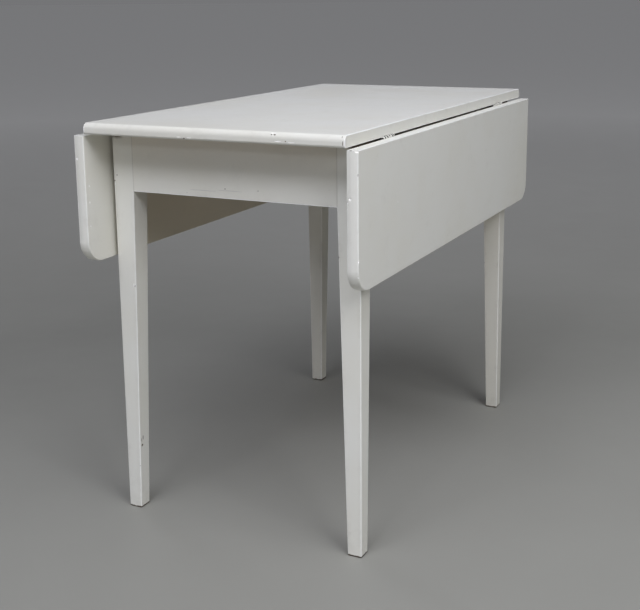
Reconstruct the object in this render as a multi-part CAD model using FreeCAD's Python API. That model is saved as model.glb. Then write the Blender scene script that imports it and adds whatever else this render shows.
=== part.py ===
import FreeCAD, Part
import math
import os

from FreeCAD import Placement, Rotation, Vector

# A pembroke table with both leaves hanging. The floor is z = 0, the length runs
# along Y, and a leaf hangs at each side in X. Lengths are in millimetres.

# Overall sizes
table_height = 740.0
top_length = 952.0
top_width = 496.0
top_thickness = 20.0

# Round-nosed ends and softened long edges of the top
top_nose_reach = 10.5
top_nose_drop = 10.5
top_nose_radius = 4.0
top_arris = 1.2

# Drop leaves, with slightly crowned ends and lower edges
leaf_width = 229.1
leaf_thickness = 20.0
leaf_corner_radius = 40.0
leaf_crown = 1.2
leaf_arris = 1.5
leaf_joint_gap = 1.0

# Legs, square at the frame and tapered on the two inner faces below it
end_overhang = 72.0
side_overhang = 6.0
leg_size = 42.0
foot_size = 26.5
foot_chamfer = 1.5
leg_arris = 2.0
leg_flush_arris = 0.5

# End aprons and side rails, tenoned into the legs
apron_height = 108.0
apron_thickness = 22.0
apron_arris = 1.0
inner_rail_thickness = 18.0
fly_rail_thickness = 16.0
fly_rail_recess = 8.0
tenon_thickness = 10.0
tenon_shoulder = 12.0
tenon_wall = 6.0
apron_tenon_setback = 6.0
rail_tenon_setback = 2.0
apron_tenon_share = 0.62
mortise_clearance = 0.15

# Fly brackets on wooden knuckle joints
fly_length = 200.0
fly_base_length = 110.0
fly_saw_gap = 4.0
fly_head_room = 1.0
fly_back_clearance = 0.4
knuckle_count = 5
knuckle_clearance = 0.3
fly_pin_radius = 2.5
pin_clearance = 0.05

# Butt hinges, let in flush
hinge_length = 50.0
hinge_from_end = 167.0
hinge_plate_width = 25.0
hinge_plate_thickness = 1.6
hinge_pin_radius = 1.5
hinge_pin_outset = 0.3
hinge_knuckle_count = 5
hinge_knuckle_gap = 0.4
hinge_notch_clearance = 0.4
hinge_recess_clearance = 0.2

# Buttons that hold the top to the frame
button_length = 42.0
button_reach = 34.0
button_thickness = 18.0
tongue_length = 9.0
tongue_thickness = 8.0
tongue_clearance = 0.2
side_button_share = 0.28
button_screw_share = 0.55

# Slotted countersunk screws
hinge_screw_head_radius = 3.2
hinge_screw_radius = 1.7
hinge_screw_length = 15.0
hinge_screw_along_shares = (-0.34, 0.0, 0.34)
hinge_screw_across_shares = (0.48, 0.72, 0.48)
wood_screw_head_radius = 4.2
wood_screw_radius = 2.2
button_screw_length = 28.0
rail_screw_grip_share = 0.65
knuckle_rail_screw_shares = (0.12, 0.5, 0.88)
end_rail_screw_shares = (0.3, 0.75)
screw_slot_width = 0.9
screw_slot_depth = 0.8
screw_clearance = 0.05

# Length by which a cut runs past the face that it opens
overrun = 5.0

# Distance within which an edge counts as lying in a plane
plane_tolerance = 0.01

half_turn = 180
quarter_turn = 90

# Places that follow from the sizes
underside = table_height - top_thickness
apron_bottom = underside - apron_height
leg_outer_x = top_width / 2 - side_overhang
leg_outer_y = top_length / 2 - end_overhang
leg_inner_x = leg_outer_x - leg_size
leg_inner_y = leg_outer_y - leg_size

fly_rail_outer_x = leg_outer_x - fly_rail_recess
inner_rail_outer_x = fly_rail_outer_x - fly_rail_thickness
inner_rail_inner_x = inner_rail_outer_x - inner_rail_thickness
apron_inner_y = leg_outer_y - apron_thickness

apron_tenon_length = leg_size * apron_tenon_share
rail_tenon_length = leg_size - apron_tenon_setback - tenon_thickness - tenon_wall

barrel_radius = (fly_rail_thickness - fly_back_clearance) / 2
socket_radius = barrel_radius + knuckle_clearance
fly_axis_x = fly_rail_outer_x - barrel_radius
knuckle_pitch = apron_height / knuckle_count

hinge_axis_x = top_width / 2 + hinge_pin_outset
hinge_axis_z = underside - hinge_pin_radius
hinge_barrel_radius = hinge_pin_radius + hinge_plate_thickness
hinge_centre_y = top_length / 2 - hinge_from_end
hinge_knuckle_pitch = hinge_length / hinge_knuckle_count
notch_radius = hinge_barrel_radius + hinge_notch_clearance

leaf_inner_x = hinge_axis_x + hinge_pin_radius
leaf_outer_x = leaf_inner_x + leaf_thickness
leaf_top_z = hinge_axis_z + hinge_pin_outset - leaf_joint_gap
leaf_bottom_z = leaf_top_z - leaf_width

rail_screw_length = inner_rail_thickness + fly_rail_thickness * rail_screw_grip_share
rail_screw_z = apron_bottom + apron_height / 2

origin = Vector(0, 0, 0)
x_axis = Vector(1, 0, 0)
y_axis = Vector(0, 1, 0)
z_axis = Vector(0, 0, 1)


def block(low, high):
    """Rectangular block between two opposite corners."""
    size = high - low
    return Part.makeBox(size.x, size.y, size.z, low)


def closed_line(points):
    """Closed wire of straight edges."""
    return Part.makePolygon(list(points) + [points[0]])


def rounded_line(corners, radii):
    """Closed wire of straight edges whose corners are rounded, each by its own radius."""
    count = len(corners)
    bends = []
    for index, radius in enumerate(radii):
        corner = corners[index]
        to_last = (corners[index - 1] - corner).normalize()
        to_next = (corners[(index + 1) % count] - corner).normalize()
        half_angle = to_last.getAngle(to_next) / 2
        setback = radius / math.tan(half_angle)
        depth = radius / math.sin(half_angle) - radius
        inward = (to_last + to_next).normalize()
        bends.append((corner + to_last * setback, corner + inward * depth, corner + to_next * setback))
    edges = []
    for index, (start, middle, end) in enumerate(bends):
        if radii[index]:
            edges.append(Part.Arc(start, middle, end).toShape())
        edges.append(Part.makeLine(end, bends[(index + 1) % count][0]))
    return Part.Wire(edges)


def nose_curve(start, corner, end):
    """Quarter of an ellipse from start to end, with the corner where its end tangents cross."""
    curve = Part.BezierCurve()
    curve.setPoles([start, corner, end])
    curve.setWeight(2, math.cos(math.radians(quarter_turn / 2)))
    return curve.toShape()


def prism(wire, travel):
    """Solid swept by a flat wire along a straight travel."""
    return Part.Face(wire).extrude(travel)


def joined(first, *others):
    """One solid from pieces that meet, with shared faces merged."""
    return first.multiFuse(list(others)).removeSplitter()


def edges_on(shape, normal, level):
    """Edges that lie in the plane square to the normal at the level."""
    found = []
    for edge in shape.Edges:
        levels = [normal.dot(point) for point in edge.discretize(3)]
        if max(abs(value - level) for value in levels) < plane_tolerance:
            found.append(edge)
    return found


def turned(shape, angle=half_turn):
    """Copy turned about the table's upright centre line."""
    return shape.rotated(origin, z_axis, angle)


def screw(head_radius, radius, length, play=0.0):
    """Countersunk wood screw with its head face at the origin and its point along +Z."""
    corners = [
        Vector(0, 0, 0),
        Vector(head_radius + play, 0, 0),
        Vector(radius + play, 0, head_radius - radius),
        Vector(radius + play, 0, length - 2 * radius),
        Vector(0, 0, length + play),
    ]
    return Part.Face(closed_line(corners)).revolve(origin, z_axis, 2 * half_turn)


def screw_slot(head_radius):
    """Slot across a screw's head."""
    low = Vector(-head_radius - overrun, -screw_slot_width / 2, -overrun)
    high = Vector(head_radius + overrun, screw_slot_width / 2, screw_slot_depth)
    return block(low, high)


def driven(shape, place, direction):
    """Screw, hole or slot moved so that its +Z runs along the direction from the place."""
    return shape.transformed(Placement(place, Rotation(z_axis, direction)).toMatrix())


def screws_at(places, head_radius, radius, length):
    """Separate screws, one at each place and direction."""
    plain = screw(head_radius, radius, length).cut(screw_slot(head_radius))
    return [driven(plain, place, direction) for place, direction in places]


def holes_at(places, head_radius, radius, length):
    """Cutters for the holes that the screws at these places fill."""
    return [driven(screw(head_radius, radius, length, screw_clearance), place, direction)
            for place, direction in places]


# Butt hinges

def hinge_plate(reach, back, knuckles):
    """Half of a hinge about the Y axis: a plate along reach, let in towards back, and knuckles."""
    def at(along_reach, along_back, y=0.0):
        return reach * along_reach + back * along_back + y_axis * y

    face = hinge_pin_radius
    rear = hinge_barrel_radius
    root = math.sqrt(rear ** 2 - face ** 2)
    start = (hinge_knuckle_gap - hinge_length) / 2
    plate_line = closed_line([
        at(notch_radius, face, start),
        at(hinge_plate_width, face, start),
        at(hinge_plate_width, rear, start),
        at(notch_radius, rear, start),
    ])
    plate = prism(plate_line, y_axis * (hinge_length - hinge_knuckle_gap))
    rolls = []
    for index in knuckles:
        y = start + index * hinge_knuckle_pitch
        roll_start = at(root, face, y)
        roll_end = at(0, rear, y)
        far_side = (roll_start + roll_end - y_axis * 2 * y).normalize() * -rear + y_axis * y
        plate_face = at(hinge_plate_width, face, y)
        plate_rear = at(hinge_plate_width, rear, y)
        roll_line = Part.Wire([
            Part.Arc(roll_start, far_side, roll_end).toShape(),
            Part.makeLine(roll_end, plate_rear),
            Part.makeLine(plate_rear, plate_face),
            Part.makeLine(plate_face, roll_start),
        ])
        rolls.append(prism(roll_line, y_axis * (hinge_knuckle_pitch - hinge_knuckle_gap)))
    hole = Part.makeCylinder(hinge_pin_radius + pin_clearance, hinge_length,
                             y_axis * (-hinge_length / 2), y_axis)
    screw_holes = holes_at(hinge_screw_places(reach, back), hinge_screw_head_radius,
                           hinge_screw_radius, hinge_screw_length)
    return joined(plate, *rolls).cut([hole] + screw_holes)


def hinge_screw_places(reach, back):
    """Where the screws of a plate start, and which way they run."""
    places = []
    for along, across in zip(hinge_screw_along_shares, hinge_screw_across_shares):
        place = y_axis * (hinge_length * along) + reach * (hinge_plate_width * across)
        places.append((place + back * hinge_pin_radius, back))
    return places


def hinge_recess(reach, back):
    """Cutter for a plate's recess, the notch round its knuckles and its screw holes."""
    half = hinge_length / 2 + hinge_recess_clearance
    line = closed_line([
        back * hinge_pin_radius - y_axis * half,
        back * hinge_barrel_radius - y_axis * half,
        back * hinge_barrel_radius - y_axis * half + reach * (hinge_plate_width + hinge_recess_clearance),
        back * hinge_pin_radius - y_axis * half + reach * (hinge_plate_width + hinge_recess_clearance),
    ])
    notch = Part.makeCylinder(notch_radius, 2 * half, y_axis * -half, y_axis)
    holes = holes_at(hinge_screw_places(reach, back), hinge_screw_head_radius,
                     hinge_screw_radius, hinge_screw_length)
    return [prism(line, y_axis * (2 * half)), notch] + holes


top_reach = -x_axis
top_back = z_axis
leaf_reach = -z_axis
leaf_back = x_axis
hinge_ys = {"front": -hinge_centre_y, "back": hinge_centre_y}


def at_hinge(shape, y):
    """Copy moved from the Y axis to a hinge of the right leaf."""
    return shape.translated(Vector(hinge_axis_x, y, hinge_axis_z))


def hinge_screws(reach, back):
    """Screws of both plates on one side of the joint of the right leaf."""
    screws = screws_at(hinge_screw_places(reach, back), hinge_screw_head_radius,
                       hinge_screw_radius, hinge_screw_length)
    return [at_hinge(one, y) for y in hinge_ys.values() for one in screws]


def hinge_cutters(reach, back):
    """Cutters that let both hinges of the right leaf into the wood on one side of the joint."""
    return [at_hinge(cutter, y) for y in hinge_ys.values() for cutter in hinge_recess(reach, back)]


# Buttons under the top

def button():
    """Button with its tongue in a rail whose inner face is y = 0, under the plane z = 0."""
    tongue_top = tongue_thickness - button_thickness
    side = -x_axis * (button_length / 2)
    line = closed_line([
        side + Vector(0, -tongue_length, -button_thickness),
        side + Vector(0, button_reach, -button_thickness),
        side + Vector(0, button_reach, 0),
        side + Vector(0, tongue_clearance, 0),
        side + Vector(0, tongue_clearance, tongue_top),
        side + Vector(0, -tongue_length, tongue_top),
    ])
    return prism(line, x_axis * button_length)


def button_slot():
    """Cutter for the slot that takes a button's tongue."""
    half = button_length / 2 + tongue_clearance
    low = Vector(-half, -tongue_length - tongue_clearance, -button_thickness - tongue_clearance)
    high = Vector(half, overrun, tongue_thickness - button_thickness + tongue_clearance)
    return block(low, high)


button_screw_place = [(Vector(0, button_reach * button_screw_share, -button_thickness), z_axis)]
side_button_y = 2 * leg_inner_y * side_button_share
button_seats = {
    "front_button": (Vector(0, -apron_inner_y, underside), 0),
    "back_button": (Vector(0, apron_inner_y, underside), half_turn),
    "right_front_button": (Vector(inner_rail_inner_x, -side_button_y, underside), quarter_turn),
    "right_back_button": (Vector(inner_rail_inner_x, side_button_y, underside), quarter_turn),
    "left_front_button": (Vector(-inner_rail_inner_x, -side_button_y, underside), -quarter_turn),
    "left_back_button": (Vector(-inner_rail_inner_x, side_button_y, underside), -quarter_turn),
}


def at_seats(shape, names=tuple(button_seats)):
    """Copies of a button, its slot or its screw at the named seats."""
    copies = []
    for name in names:
        place, angle = button_seats[name]
        copies.append(shape.transformed(Placement(place, Rotation(z_axis, angle)).toMatrix()))
    return copies


# Top and leaves

def table_top():
    """Fixed top: a board with round-nosed ends, let in below for the hinges."""
    half = top_length / 2
    side = -x_axis * (top_width / 2)

    def end(sign):
        def at(inset, z):
            return side + Vector(0, sign * (half - inset), z)

        below = nose_curve(at(top_nose_radius, underside), at(0, underside), at(0, underside + top_nose_radius))
        rise = Part.makeLine(at(0, underside + top_nose_radius), at(0, table_height - top_nose_drop))
        above = nose_curve(at(0, table_height - top_nose_drop), at(0, table_height),
                           at(top_nose_reach, table_height))
        return [below, rise, above]

    flat = half - top_nose_reach
    base = half - top_nose_radius
    upper = Part.makeLine(side + Vector(0, flat, table_height), side + Vector(0, -flat, table_height))
    lower = Part.makeLine(side + Vector(0, -base, underside), side + Vector(0, base, underside))
    outline = Part.Wire(Part.__sortEdges__([lower, upper] + end(1) + end(-1)))
    board = prism(outline, x_axis * top_width)
    long_edges = edges_on(board, x_axis, top_width / 2) + edges_on(board, x_axis, -top_width / 2)
    board = board.makeFillet(top_arris, long_edges)
    cutters = hinge_cutters(top_reach, top_back)
    cutters += [turned(cutter) for cutter in cutters]
    cutters += at_seats(holes_at(button_screw_place, wood_screw_head_radius,
                                 wood_screw_radius, button_screw_length)[0])
    return board.cut(cutters)


def crowned_section(start, outward, length):
    """Outline across a leaf board, from a straight side at the start to a crowned edge outward."""
    across = x_axis * leaf_thickness
    shoulder = start + outward * (length - leaf_crown)
    crest = start + outward * length + across / 2
    return Part.Wire([
        Part.makeLine(start, shoulder),
        Part.Arc(shoulder, crest, shoulder + across).toShape(),
        Part.makeLine(shoulder + across, start + across),
        Part.makeLine(start + across, start),
    ])


def right_leaf():
    """Hanging leaf: a board with two rounded lower corners, let in for its hinge plates."""
    straight = top_length / 2 - leaf_corner_radius
    bend = Vector(leaf_inner_x, -straight, leaf_bottom_z + leaf_corner_radius)
    upper_edge = Vector(leaf_inner_x, -straight, leaf_top_z)
    middle = prism(crowned_section(upper_edge, -z_axis, leaf_width), y_axis * (2 * straight))
    end_section = crowned_section(bend, -y_axis, leaf_corner_radius)
    end = prism(end_section, upper_edge - bend)
    corner = Part.Face(end_section).revolve(bend, x_axis, quarter_turn)
    board = joined(middle, end, corner, end.mirror(origin, y_axis), corner.mirror(origin, y_axis))
    face_edges = edges_on(board, x_axis, leaf_inner_x) + edges_on(board, x_axis, leaf_outer_x)
    board = board.makeFillet(leaf_arris, face_edges)
    return board.cut(hinge_cutters(leaf_reach, leaf_back))


# Frame

def apron_tenon(clearance=0.0):
    """Tenon of the front apron in the front right leg, or its mortise with a clearance."""
    low = Vector(leg_inner_x - overrun, apron_tenon_setback - leg_outer_y - clearance,
                 apron_bottom + tenon_shoulder - clearance)
    high = Vector(leg_inner_x + apron_tenon_length + clearance,
                  apron_tenon_setback + tenon_thickness - leg_outer_y + clearance,
                  underside - tenon_shoulder + clearance)
    return block(low, high)


def rail_tenon(clearance=0.0):
    """Tenon of the right inner rail in the front right leg, or its mortise with a clearance."""
    outer = inner_rail_outer_x - rail_tenon_setback
    low = Vector(outer - tenon_thickness - clearance, -leg_inner_y - rail_tenon_length - clearance,
                 apron_bottom + tenon_shoulder - clearance)
    high = Vector(outer + clearance, -leg_inner_y + overrun, underside - tenon_shoulder + clearance)
    return block(low, high)


def leg():
    """Front right leg: square at the frame, tapered below it on the two inner faces."""
    def section(z, size, inset, flush_radius):
        right = leg_outer_x - inset
        front = inset - leg_outer_y
        left = leg_outer_x - size + inset
        back = size - inset - leg_outer_y
        corners = [Vector(right, front, z), Vector(right, back, z), Vector(left, back, z), Vector(left, front, z)]
        return rounded_line(corners, [leg_arris, leg_arris, leg_arris, flush_radius])

    sections = [
        section(0, foot_size, foot_chamfer, leg_arris),
        section(foot_chamfer, foot_size, 0, leg_arris),
        section(apron_bottom, leg_size, 0, leg_flush_arris),
        section(underside, leg_size, 0, leg_flush_arris),
    ]
    post = Part.makeLoft(sections, True, True)
    return post.cut([apron_tenon(mortise_clearance), rail_tenon(mortise_clearance)])


def front_apron():
    """End board flush with the outer faces of the front legs."""
    low = Vector(-leg_inner_x, -leg_outer_y, apron_bottom)
    high = Vector(leg_inner_x, -apron_inner_y, underside)
    board = block(low, high)
    lower_edges = [edge for edge in edges_on(board, z_axis, apron_bottom)
                   if edge.BoundBox.XLength > apron_thickness]
    board = board.makeFillet(apron_arris, lower_edges)
    tenon = apron_tenon()
    slot = at_seats(button_slot(), ["front_button"])
    return joined(board, tenon, tenon.mirror(origin, x_axis)).cut(slot)


def right_inner_rail():
    """Side rail that joins the right legs and carries the outer rails."""
    low = Vector(inner_rail_inner_x, -leg_inner_y, apron_bottom)
    high = Vector(inner_rail_outer_x, leg_inner_y, underside)
    tenon = rail_tenon()
    slots = at_seats(button_slot(), ["right_front_button", "right_back_button"])
    holes = holes_at(rail_screw_places(), wood_screw_head_radius, wood_screw_radius, rail_screw_length)
    return joined(block(low, high), tenon, tenon.mirror(origin, y_axis)).cut(slots + holes)


def rail_screw_places():
    """Screws driven from inside through the right inner rail into the outer rails."""
    knuckle_rail_length = leg_inner_y - barrel_radius
    end_rail_start = fly_length + fly_saw_gap
    end_rail_length = leg_inner_y - end_rail_start
    ys = [-leg_inner_y + knuckle_rail_length * share for share in knuckle_rail_screw_shares]
    ys += [end_rail_start + end_rail_length * share for share in end_rail_screw_shares]
    return [(Vector(inner_rail_inner_x, y, rail_screw_z), x_axis) for y in ys]


# Fly bracket and the outer rails beside it

def knuckle_body(inner_x, end_y, fingers, z_low, z_high):
    """Upright rail from end_y to a knuckle on the pin axis, with rounded fingers at some levels.

    The outer corner is bevelled through the axis, so the joint opens to a right angle.
    """
    side = math.copysign(1, end_y)
    bevel = math.radians(quarter_turn / 2)

    def at(x, y):
        return Vector(x, side * y, z_low)

    def on_circle(radius, angle):
        return at(fly_axis_x + radius * math.cos(angle), radius * math.sin(angle))

    length = abs(end_y)
    outer_start = at(fly_rail_outer_x, length)
    inner_start = at(inner_x, length)
    shoulder = at(fly_rail_outer_x, barrel_radius)

    socket_rim = on_circle(socket_radius, bevel)
    socket_floor = on_circle(socket_radius, 2 * bevel)
    socket_corner = at(inner_x, socket_radius)
    socket_line = Part.Wire([
        Part.makeLine(inner_start, outer_start),
        Part.makeLine(outer_start, shoulder),
        Part.makeLine(shoulder, socket_rim),
        Part.Arc(socket_rim, on_circle(socket_radius, 1.5 * bevel), socket_floor).toShape(),
        Part.makeLine(socket_floor, socket_corner),
        Part.makeLine(socket_corner, inner_start),
    ])
    body = prism(socket_line, z_axis * (z_high - z_low))

    rim = on_circle(barrel_radius, bevel)
    back = at(fly_axis_x - barrel_radius, 0)
    neck = at(fly_axis_x - barrel_radius, 2 * barrel_radius)
    wrist = at(fly_rail_outer_x, 2 * barrel_radius)
    finger_line = Part.Wire([
        Part.makeLine(wrist, shoulder),
        Part.makeLine(shoulder, rim),
        Part.Arc(rim, on_circle(barrel_radius, -1.5 * bevel), back).toShape(),
        Part.makeLine(back, neck),
        Part.makeLine(neck, wrist),
    ])
    cutters = [Part.makeCylinder(fly_pin_radius + pin_clearance, z_high - z_low + 2 * overrun,
                                 Vector(fly_axis_x, 0, z_low - overrun), z_axis)]
    rolls = []
    for index in fingers:
        low = apron_bottom + index * knuckle_pitch + knuckle_clearance / 2
        high = low + knuckle_pitch - knuckle_clearance
        if index == 0:
            low = z_low
        if index == knuckle_count - 1:
            high = z_high
        roll = prism(finger_line, z_axis * (high - low))
        rolls.append(roll.translated(z_axis * (low - z_low)))
    return joined(body, *rolls).cut(cutters)


def fly_curve(shift):
    """Ogee between the bracket's lower edge and the top of its tip, moved along the rail."""
    base = fly_base_length + shift
    tip = fly_length + shift
    middle = (apron_bottom + underside) / 2
    curve = Part.BezierCurve()
    curve.setPoles([
        Vector(inner_rail_inner_x, base, apron_bottom),
        Vector(inner_rail_inner_x, base, middle),
        Vector(inner_rail_inner_x, tip, middle),
        Vector(inner_rail_inner_x, tip, underside),
    ])
    return curve.toShape()


def beside_curve(shift, far_y):
    """Upright slab across the rails between the ogee and a far end."""
    curve = fly_curve(shift)
    low = curve.Vertexes[0].Point
    high = curve.Vertexes[-1].Point
    far_low = Vector(low.x, far_y, low.z)
    far_high = Vector(high.x, far_y, high.z)
    outline = Part.Wire([
        curve,
        Part.makeLine(high, far_high),
        Part.makeLine(far_high, far_low),
        Part.makeLine(far_low, low),
    ])
    across = inner_rail_thickness + fly_rail_thickness + overrun
    return prism(outline, x_axis * across)


def right_knuckle_rail():
    """Fixed outer rail, with the odd fingers of the knuckle joint."""
    fingers = range(0, knuckle_count, 2)
    rail = knuckle_body(inner_rail_outer_x, -leg_inner_y, fingers, apron_bottom, underside)
    holes = holes_at(rail_screw_places(), wood_screw_head_radius, wood_screw_radius, rail_screw_length)
    return rail.cut(holes)


def right_fly_bracket():
    """Swinging bracket with the even fingers of the knuckle joint and an ogee tip."""
    fingers = range(1, knuckle_count, 2)
    inner_x = inner_rail_outer_x + fly_back_clearance
    arm = knuckle_body(inner_x, fly_length, fingers, apron_bottom, underside - fly_head_room)
    return arm.common(beside_curve(0, -fly_length))


def right_end_rail():
    """Fixed outer rail beyond the bracket, sawn to the same ogee."""
    low = Vector(inner_rail_outer_x, 0, apron_bottom)
    high = Vector(fly_rail_outer_x, leg_inner_y, underside)
    holes = holes_at(rail_screw_places(), wood_screw_head_radius, wood_screw_radius, rail_screw_length)
    return block(low, high).common(beside_curve(fly_saw_gap, leg_inner_y)).cut(holes)


def right_fly_pin():
    """Steel pin of the wooden knuckle joint."""
    return Part.makeCylinder(fly_pin_radius, apron_height - fly_head_room,
                             Vector(fly_axis_x, 0, apron_bottom), z_axis)


# Every piece of the table by name
pieces = {
    "table_top": table_top(),
    "right_leaf": right_leaf(),
    "front_apron": front_apron(),
    "right_inner_rail": right_inner_rail(),
    "right_knuckle_rail": right_knuckle_rail(),
    "right_end_rail": right_end_rail(),
    "right_fly_bracket": right_fly_bracket(),
    "right_fly_pin": right_fly_pin(),
    "leg_front_right": leg(),
}
pieces["leg_front_left"] = pieces["leg_front_right"].mirror(origin, x_axis)
pieces["leg_back_right"] = pieces["leg_front_right"].mirror(origin, y_axis)
pieces["leg_back_left"] = turned(pieces["leg_front_right"])
pieces["back_apron"] = turned(pieces["front_apron"])
for name in ("leaf", "inner_rail", "knuckle_rail", "end_rail", "fly_bracket", "fly_pin"):
    pieces["left_" + name] = turned(pieces["right_" + name])

hinge_pin = Part.makeCylinder(hinge_pin_radius, hinge_length - hinge_knuckle_gap,
                              y_axis * ((hinge_knuckle_gap - hinge_length) / 2), y_axis)
hinge_halves = {
    "top_plate": hinge_plate(top_reach, top_back, range(0, hinge_knuckle_count, 2)),
    "leaf_plate": hinge_plate(leaf_reach, leaf_back, range(1, hinge_knuckle_count, 2)),
    "pin": hinge_pin,
}
for half_name, half_shape in hinge_halves.items():
    for end_name, end_y in hinge_ys.items():
        pieces[f"right_{end_name}_hinge_{half_name}"] = at_hinge(half_shape, end_y)
        pieces[f"left_{end_name}_hinge_{half_name}"] = turned(at_hinge(half_shape, -end_y))

for button_name, button_shape in zip(button_seats, at_seats(button())):
    pieces[button_name] = button_shape

top_screws = hinge_screws(top_reach, top_back)
leaf_screws = hinge_screws(leaf_reach, leaf_back)
rail_screws = screws_at(rail_screw_places(), wood_screw_head_radius, wood_screw_radius, rail_screw_length)
button_screw = screws_at(button_screw_place, wood_screw_head_radius, wood_screw_radius,
                         button_screw_length)[0]
button_hole = holes_at(button_screw_place, wood_screw_head_radius, wood_screw_radius,
                       button_screw_length)[0]
for button_name, hole in zip(button_seats, at_seats(button_hole)):
    pieces[button_name] = pieces[button_name].cut(hole)

pieces["top_hinge_screws"] = Part.Compound(top_screws + [turned(one) for one in top_screws])
pieces["right_leaf_hinge_screws"] = Part.Compound(leaf_screws)
pieces["left_leaf_hinge_screws"] = Part.Compound([turned(one) for one in leaf_screws])
pieces["rail_screws"] = Part.Compound(rail_screws + [turned(one) for one in rail_screws])
pieces["button_screws"] = Part.Compound(at_seats(button_screw))

os.makedirs("parts", exist_ok=True)
for name, shape in pieces.items():
    shape.exportStep(f"parts/{name}.step")
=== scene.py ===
import math
import random

import bmesh
import bpy
from mathutils import Matrix, Vector


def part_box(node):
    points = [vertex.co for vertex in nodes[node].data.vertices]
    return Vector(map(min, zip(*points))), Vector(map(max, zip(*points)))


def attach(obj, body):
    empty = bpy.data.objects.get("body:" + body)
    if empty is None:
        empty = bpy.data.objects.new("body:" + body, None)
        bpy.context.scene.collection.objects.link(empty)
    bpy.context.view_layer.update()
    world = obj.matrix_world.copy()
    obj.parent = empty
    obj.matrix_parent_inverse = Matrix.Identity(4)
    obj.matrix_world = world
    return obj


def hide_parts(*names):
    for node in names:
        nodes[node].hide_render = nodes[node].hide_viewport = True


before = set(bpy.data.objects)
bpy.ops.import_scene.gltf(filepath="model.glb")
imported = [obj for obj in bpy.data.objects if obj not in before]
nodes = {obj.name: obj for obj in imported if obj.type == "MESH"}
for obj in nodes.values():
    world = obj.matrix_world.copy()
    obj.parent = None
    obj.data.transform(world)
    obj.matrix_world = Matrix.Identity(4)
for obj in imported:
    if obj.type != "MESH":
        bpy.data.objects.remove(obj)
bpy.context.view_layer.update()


# Legs: four softwood posts, square where the frame joins them and tapered below it on the
# two inner faces. They are brushed with off-white enamel that has chipped on the arrises,
# and the lowest edge of each foot is dark dirty wood. Shade is painted on them: dark grime on
# the inner faces under the frame, dark wood at the outer heads in the leaves' joints, and
# yellower, darker paint on the back legs.

leg_low, leg_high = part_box("leg_front_right")
leg_outer_x = leg_high.x
leg_outer_y = -leg_low.y
leg_size = leg_high.x - leg_low.x
leg_height = leg_high.z
foot_size = 0.0265
frame_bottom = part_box("front_apron")[0].z

enamel_fresh = (0.800, 0.796, 0.727, 1)
enamel_yellowed = (0.765, 0.750, 0.655, 1)
# A whiter enamel, used as a painted highlight on the arrises.
enamel_arris_highlight = (0.970, 0.968, 0.930, 1)
# A yellower, darker enamel, used as painted shade.
enamel_shade_yellowed = (0.640, 0.585, 0.455, 1)
# Grime, which also carries painted shade.
enamel_grime_and_shade = (0.400, 0.375, 0.315, 1)
# A white undercoat, also a painted highlight for the glints in the dents.
undercoat_glint_white = (0.985, 0.970, 0.920, 1)
pine_early = (0.480, 0.315, 0.165, 1)
pine_late = (0.270, 0.145, 0.062, 1)
pine_dirt = (0.050, 0.040, 0.030, 1)


def feed(tree, socket, source):
    """Joins a socket to another one, or sets its constant."""
    if isinstance(source, bpy.types.NodeSocket):
        tree.links.new(source, socket)
    else:
        socket.default_value = source


def put(tree, kind, *sources, **settings):
    """New shader node whose first inputs take these sockets or constants."""
    node = tree.nodes.new("ShaderNode" + kind)
    for name, value in settings.items():
        setattr(node, name, value)
    for socket, source in zip(node.inputs, sources):
        feed(tree, socket, source)
    return node


def calc(tree, operation, *sources):
    """Result of a sum on numbers."""
    return put(tree, "Math", *sources, operation=operation).outputs[0]


def product(tree, first, *others):
    """Product of numbers."""
    for factor in others:
        first = calc(tree, "MULTIPLY", first, factor)
    return first


def vector_calc(tree, operation, *sources):
    """Result of a sum on vectors: a number for a length, else a vector."""
    made = put(tree, "VectorMath", *sources, operation=operation)
    return made.outputs["Value" if operation == "LENGTH" else "Vector"]


def parts_of(tree, vector):
    """The numbers X, Y and Z of a vector."""
    return put(tree, "SeparateXYZ", vector).outputs


def sizes_of(tree, vector):
    """The numbers X, Y and Z of a vector without their signs."""
    return parts_of(tree, vector_calc(tree, "ABSOLUTE", vector))


def vector_of(tree, x, y, z):
    """A vector from three numbers."""
    return put(tree, "CombineXYZ", x, y, z).outputs[0]


def step(tree, value, start, end):
    """Smooth rise from 0 to 1, as the value goes from start to end."""
    return put(tree, "MapRange", value, start, end, interpolation_type="SMOOTHSTEP").outputs[0]


mix_sockets = {"FLOAT": {"first": 2, "second": 3, "result": 0},
               "RGBA": {"first": 6, "second": 7, "result": 2}}


def blend(tree, kind, share, first, second):
    """Mixes two of a kind: the first where the share is 0, and the second where it is 1."""
    node = put(tree, "Mix", share, data_type=kind)
    feed(tree, node.inputs[mix_sockets[kind]["first"]], first)
    feed(tree, node.inputs[mix_sockets[kind]["second"]], second)
    return node.outputs[mix_sockets[kind]["result"]]


def blend_colours(tree, share, first, second):
    """Colour that goes from the first to the second with the share."""
    return blend(tree, "RGBA", share, first, second)


def blend_values(tree, share, first, second):
    """Number that goes from the first to the second with the share."""
    return blend(tree, "FLOAT", share, first, second)


def noise(tree, point, scale, detail=2.0, roughness=0.5):
    """Noise from 0 to 1, with the scale in lumps to the metre."""
    node = put(tree, "TexNoise")
    feed(tree, node.inputs["Vector"], point)
    feed(tree, node.inputs["Scale"], scale)
    feed(tree, node.inputs["Detail"], detail)
    feed(tree, node.inputs["Roughness"], roughness)
    return node.outputs["Fac"]


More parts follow.
